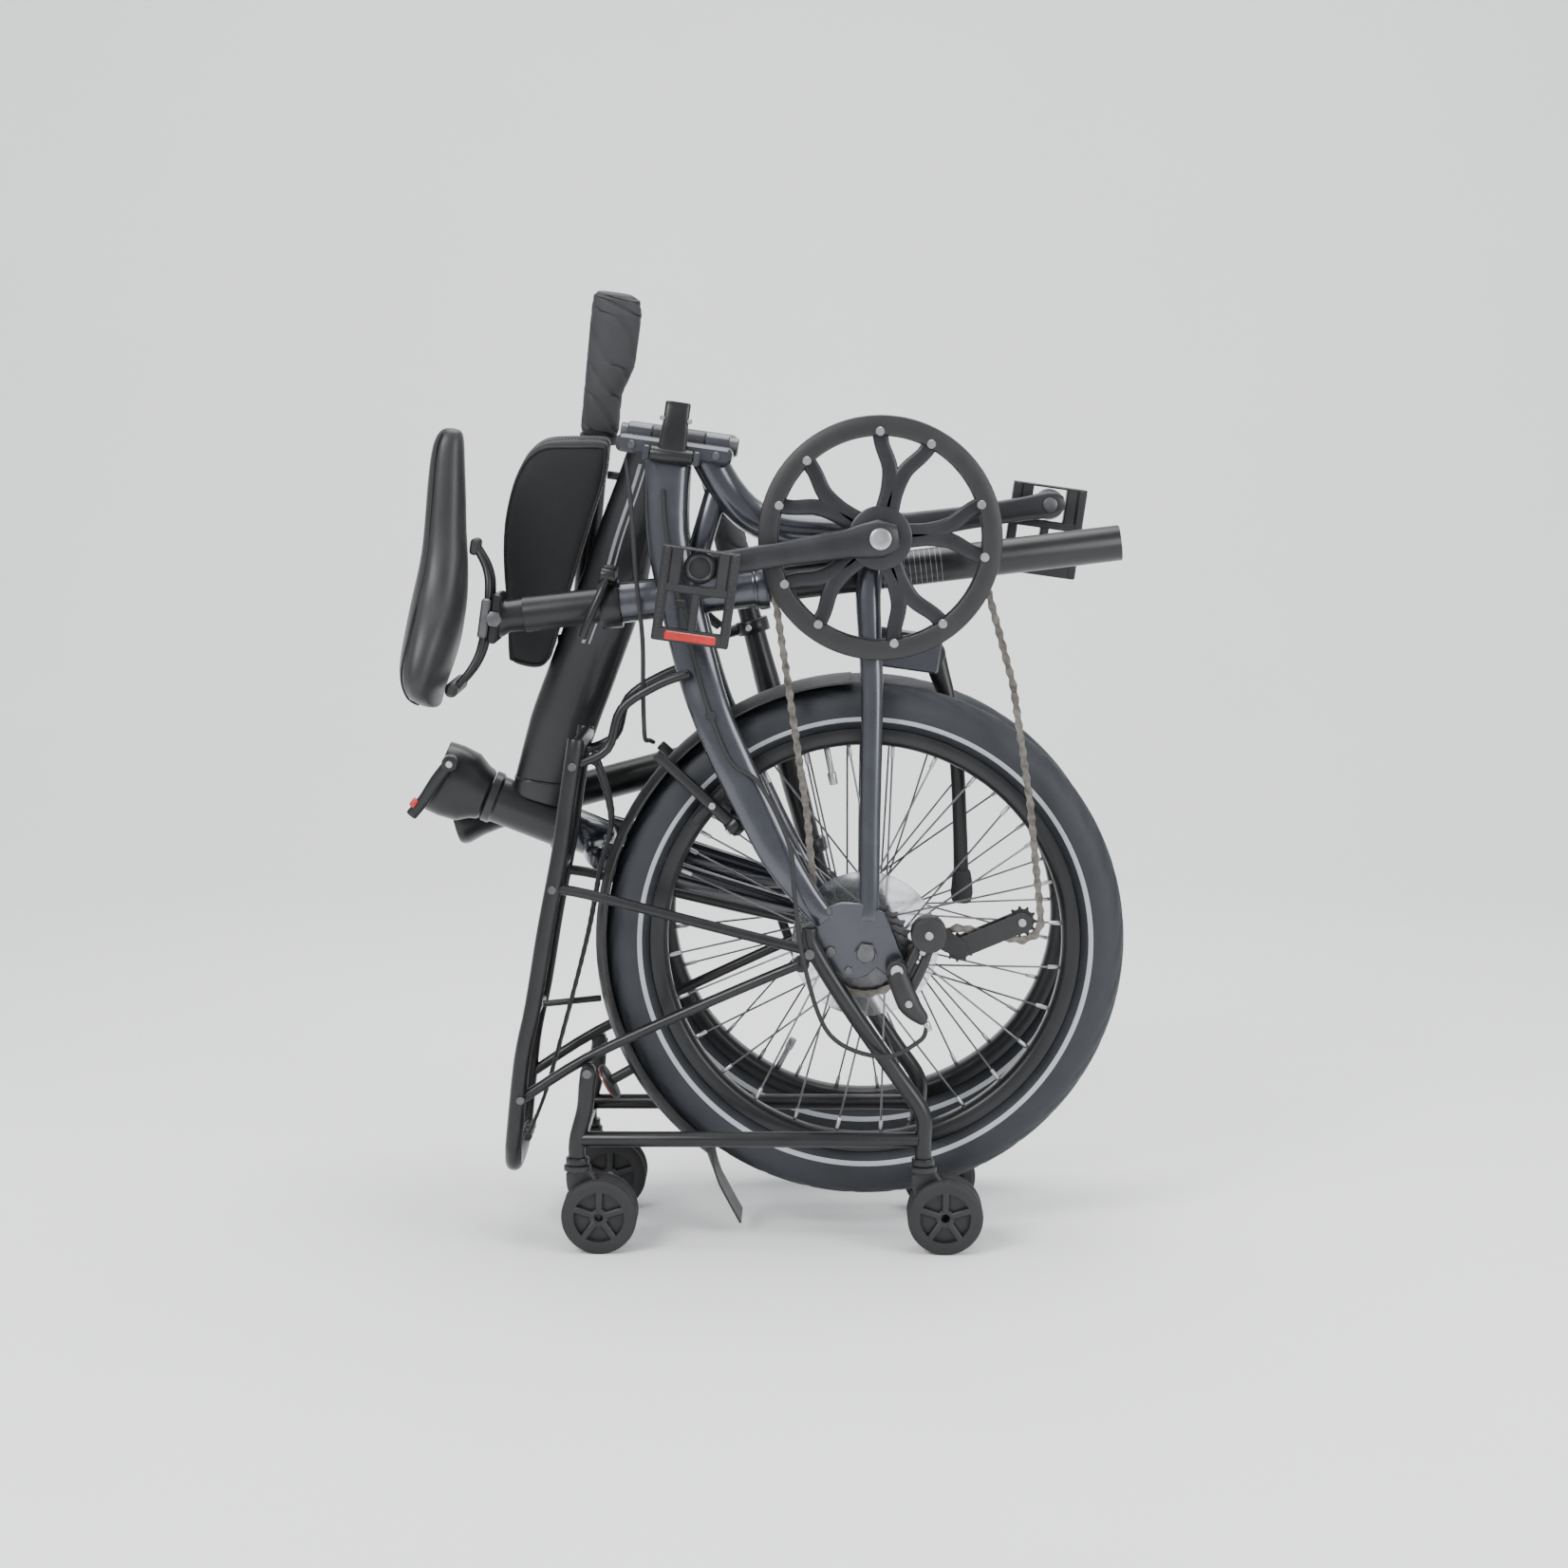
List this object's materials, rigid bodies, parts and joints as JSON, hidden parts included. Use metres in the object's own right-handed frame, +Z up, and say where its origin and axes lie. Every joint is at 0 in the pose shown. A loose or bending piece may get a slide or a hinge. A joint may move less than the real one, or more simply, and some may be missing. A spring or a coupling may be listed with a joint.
{
  "type": "folding bicycle",
  "caption": "Small-wheeled folding bicycle, folded and standing upright on a castor rack behind its rear wheel; frame, handlepost, pedals, stand and castors all move.",
  "frame": {"origin": "centre of the bounding box's base, on the floor under the folded bicycle", "axes": "+Z up as it stands on its castors, +X from the saddle end towards the seatpost's foot, +Y from the chain side to the folded front wheel"},
  "size_m": [0.7052, 0.3618, 0.91],
  "materials": {
    "black_satin": "satin black coating",
    "chain": "oiled steel",
    "charcoal": "satin charcoal paint",
    "fabric": "woven black fabric",
    "grip": "dark grey moulded rubber",
    "gunmetal": "metallic grey-blue paint",
    "leather": "grained black cover",
    "navy": "gloss blue-black paint",
    "plastic": "matt black plastic",
    "rubber": "black rubber",
    "steel": "bare steel",
    "tyre": "blue-grey tyre rubber"
  },
  "bodies": {
    "frame": {"rear_frame": "gunmetal", "frame_hinge_pin": "steel", "seat_clamp": "black_satin", "rear_axle": "steel", "rack": "black_satin", "trolley_frame": "black_satin", "rear_fender": "plastic", "bungee_straps": "fabric", "derailleur_body": "plastic", "derailleur_cage": "plastic", "derailleur_cable": "rubber", "brake_cable": "rubber", "chain": "chain"},
    "front_half": {"front_frame": "charcoal", "pull_handle": "black_satin", "pull_grip": "grip", "frame_bag": "fabric"},
    "steering": {"fork": "navy", "handlepost_base": "black_satin"},
    "post": {"handlepost": "black_satin", "handlebar": "black_satin", "left_grip": "grip", "right_grip": "grip"},
    "post_latch": {"handlepost_latch": "plastic"},
    "right_lever": {"right_brake_lever": "black_satin"},
    "left_lever": {"left_brake_lever": "black_satin"},
    "front_wheel": {"front_tyre": "tyre", "front_rim": "plastic", "front_hub": "steel"},
    "rear_wheel": {"rear_tyre": "tyre", "rear_rim": "plastic", "rear_hub": "steel"},
    "sprockets": {"cassette": "steel"},
    "crankset": {"right_crank": "gunmetal", "left_crank": "gunmetal", "chainring": "black_satin"},
    "right_pedal_spindle": {"right_pedal_axle": "steel"},
    "left_pedal_spindle": {"left_pedal_axle": "steel"},
    "right_pedal_cage": {"right_pedal": "plastic"},
    "left_pedal_cage": {"left_pedal": "plastic"},
    "seat": {"seatpost": "black_satin", "saddle_rails": "steel", "saddle": "leather"},
    "seat_lever": {"seat_clamp_lever": "black_satin"},
    "hinge_lever": {"frame_latch": "black_satin"},
    "stand_leg": {"kickstand_leg": "black_satin"},
    "right_brake": {"right_brake_arm": "black_satin"},
    "left_brake": {"left_brake_arm": "black_satin"},
    "guide_wheel": {"guide_pulley": "plastic"},
    "tension_wheel": {"tension_pulley": "plastic"},
    "rear_right_castor": {"rear_right_castor_fork": "plastic"},
    "rear_right_wheel": {"rear_right_castor_wheel": "rubber"},
    "rear_left_castor": {"rear_left_castor_fork": "plastic"},
    "rear_left_wheel": {"rear_left_castor_wheel": "rubber"},
    "front_right_castor": {"front_right_castor_fork": "plastic"},
    "front_right_wheel": {"front_right_castor_wheel": "rubber"},
    "front_left_castor": {"front_left_castor_fork": "plastic"},
    "front_left_wheel": {"front_left_castor_wheel": "rubber"}
  },
  "joints": [
    {"name": "main_fold", "type": "hinge", "parent": "frame", "child": "front_half", "pos_m": [-0.07519, -0.0309, 0.76642], "axis": [0.9903, 0, -0.1392], "range_deg": [0, 171.6]},
    {"name": "steering_turn", "type": "hinge", "parent": "front_half", "child": "steering", "pos_m": [-0.23386, 0.07161, 0.39187], "axis": [-0.9275, -0.0353, 0.372], "range_deg": [-5, 5]},
    {"name": "front_wheel_spin", "type": "hinge", "parent": "steering", "child": "front_wheel", "pos_m": [0.1048, 0.08003, 0.28668], "axis": [-0.0203, -0.9893, -0.1447], "continuous": true},
    {"name": "handlepost_fold", "type": "hinge", "parent": "steering", "child": "post", "pos_m": [-0.32922, 0.1042, 0.39879], "axis": [0.0268, 0.6344, 0.7726], "range_deg": [0, 204]},
    {"name": "handlepost_latch_turn", "type": "hinge", "parent": "steering", "child": "post_latch", "pos_m": [-0.30716, 0.03298, 0.44515], "axis": [0.0203, 0.9893, 0.1447], "range_deg": [0, 60]},
    {"name": "right_brake_lever_pull", "type": "hinge", "parent": "post", "child": "right_lever", "pos_m": [-0.04118, 0.14589, 0.57244], "axis": [0.2071, 0.9767, 0.0553], "range_deg": [0, 12], "stiffness_Nm_per_rad": 0.5, "springref_deg": -17.19},
    {"name": "left_brake_lever_pull", "type": "hinge", "parent": "post", "child": "left_lever", "pos_m": [0.02287, 0.1461, 0.32871], "axis": [-0.2071, -0.9767, -0.0553], "range_deg": [0, 12], "stiffness_Nm_per_rad": 0.5, "springref_deg": -17.19},
    {"name": "rear_wheel_spin", "type": "hinge", "parent": "frame", "child": "rear_wheel", "pos_m": [0.1048, -0.0749, 0.2867], "axis": [0, 1, 0], "continuous": true},
    {"name": "crank_spin", "type": "hinge", "parent": "frame", "child": "crankset", "pos_m": [0.11721, -0.0749, 0.67677], "axis": [0, 1, 0], "range_deg": [-110, 40]},
    {"name": "sprocket_spin", "type": "hinge", "parent": "frame", "child": "sprockets", "pos_m": [0.1048, -0.0749, 0.2867], "axis": [0, 1, 0], "continuous": true},
    {"name": "guide_pulley_spin", "type": "hinge", "parent": "frame", "child": "guide_wheel", "pos_m": [0.19385, -0.1239, 0.28873], "axis": [0, 1, 0], "continuous": true},
    {"name": "tension_pulley_spin", "type": "hinge", "parent": "frame", "child": "tension_wheel", "pos_m": [0.25279, -0.1239, 0.31367], "axis": [0, 1, 0], "continuous": true},
    {"name": "right_pedal_spin", "type": "hinge", "parent": "crankset", "child": "right_pedal_spindle", "pos_m": [-0.04976, -0.1559, 0.65062], "axis": [0, 1, 0], "continuous": true},
    {"name": "right_pedal_fold", "type": "hinge", "parent": "right_pedal_spindle", "child": "right_pedal_cage", "pos_m": [-0.04725, -0.1609, 0.66845], "axis": [-0.9903, 0, 0.1392], "range_deg": [0, 90]},
    {"name": "left_pedal_spin", "type": "hinge", "parent": "crankset", "child": "left_pedal_spindle", "pos_m": [0.28417, 0.0061, 0.70291], "axis": [0, 1, 0], "continuous": true},
    {"name": "left_pedal_fold", "type": "hinge", "parent": "left_pedal_spindle", "child": "left_pedal_cage", "pos_m": [0.28668, 0.0111, 0.72074], "axis": [0.9903, 0, -0.1392], "range_deg": [0, 90]},
    {"name": "seatpost_slide", "type": "slide", "parent": "frame", "child": "seat", "axis": [-0.9928, 0, -0.1201], "range_m": [0, 0.25]},
    {"name": "seat_lever_turn", "type": "hinge", "parent": "frame", "child": "seat_lever", "pos_m": [-0.13939, -0.0939, 0.63962], "axis": [-0.9903, 0, 0.1392], "range_deg": [0, 70]},
    {"name": "frame_latch_turn", "type": "hinge", "parent": "frame", "child": "hinge_lever", "pos_m": [-0.07813, -0.1139, 0.75269], "axis": [0.9903, 0, -0.1392], "range_deg": [0, 60]},
    {"name": "kickstand_fold", "type": "hinge", "parent": "frame", "child": "stand_leg", "pos_m": [0.17164, -0.0299, 0.56107], "axis": [0, -1, 0], "range_deg": [0, 72], "stiffness_Nm_per_rad": 0.6, "springref_deg": -34.38},
    {"name": "right_brake_arm_turn", "type": "hinge", "parent": "frame", "child": "right_brake", "pos_m": [-0.0202, -0.1129, 0.40323], "axis": [-0.6819, 0, -0.7314], "range_deg": [0, 2.5]},
    {"name": "left_brake_arm_turn", "type": "hinge", "parent": "frame", "child": "left_brake", "pos_m": [-0.0202, -0.0369, 0.40323], "axis": [0.6819, 0, 0.7314], "range_deg": [0, 2.5]},
    {"name": "rear_right_castor_swivel", "type": "hinge", "parent": "frame", "child": "rear_right_castor", "pos_m": [-0.1686, -0.1529, 0.0833], "axis": [0, 0, 1], "continuous": true},
    {"name": "rear_right_castor_roll", "type": "hinge", "parent": "rear_right_castor", "child": "rear_right_wheel", "pos_m": [-0.1476, -0.1529, 0.036], "axis": [0, 1, 0], "continuous": true},
    {"name": "rear_left_castor_swivel", "type": "hinge", "parent": "frame", "child": "rear_left_castor", "pos_m": [-0.1686, 0.0031, 0.0833], "axis": [0, 0, 1], "continuous": true},
    {"name": "rear_left_castor_roll", "type": "hinge", "parent": "rear_left_castor", "child": "rear_left_wheel", "pos_m": [-0.1476, 0.0031, 0.036], "axis": [0, 1, 0], "continuous": true},
    {"name": "front_right_castor_swivel", "type": "hinge", "parent": "frame", "child": "front_right_castor", "pos_m": [0.1598, -0.1529, 0.0833], "axis": [0, 0, 1], "continuous": true},
    {"name": "front_right_castor_roll", "type": "hinge", "parent": "front_right_castor", "child": "front_right_wheel", "pos_m": [0.1808, -0.1529, 0.036], "axis": [0, 1, 0], "continuous": true},
    {"name": "front_left_castor_swivel", "type": "hinge", "parent": "frame", "child": "front_left_castor", "pos_m": [0.1598, 0.0031, 0.0833], "axis": [0, 0, 1], "continuous": true},
    {"name": "front_left_castor_roll", "type": "hinge", "parent": "front_left_castor", "child": "front_left_wheel", "pos_m": [0.1808, 0.0031, 0.036], "axis": [0, 1, 0], "continuous": true}
  ],
  "couplings": [
    {"joint": "sprocket_spin", "follows": "crank_spin", "ratio": 2.4545},
    {"joint": "guide_pulley_spin", "follows": "crank_spin", "ratio": -5.8378},
    {"joint": "tension_pulley_spin", "follows": "crank_spin", "ratio": 5.8378},
    {"joint": "right_brake_arm_turn", "follows": "right_brake_lever_pull", "ratio": 0.2},
    {"joint": "left_brake_arm_turn", "follows": "right_brake_lever_pull", "ratio": 0.2}
  ]
}
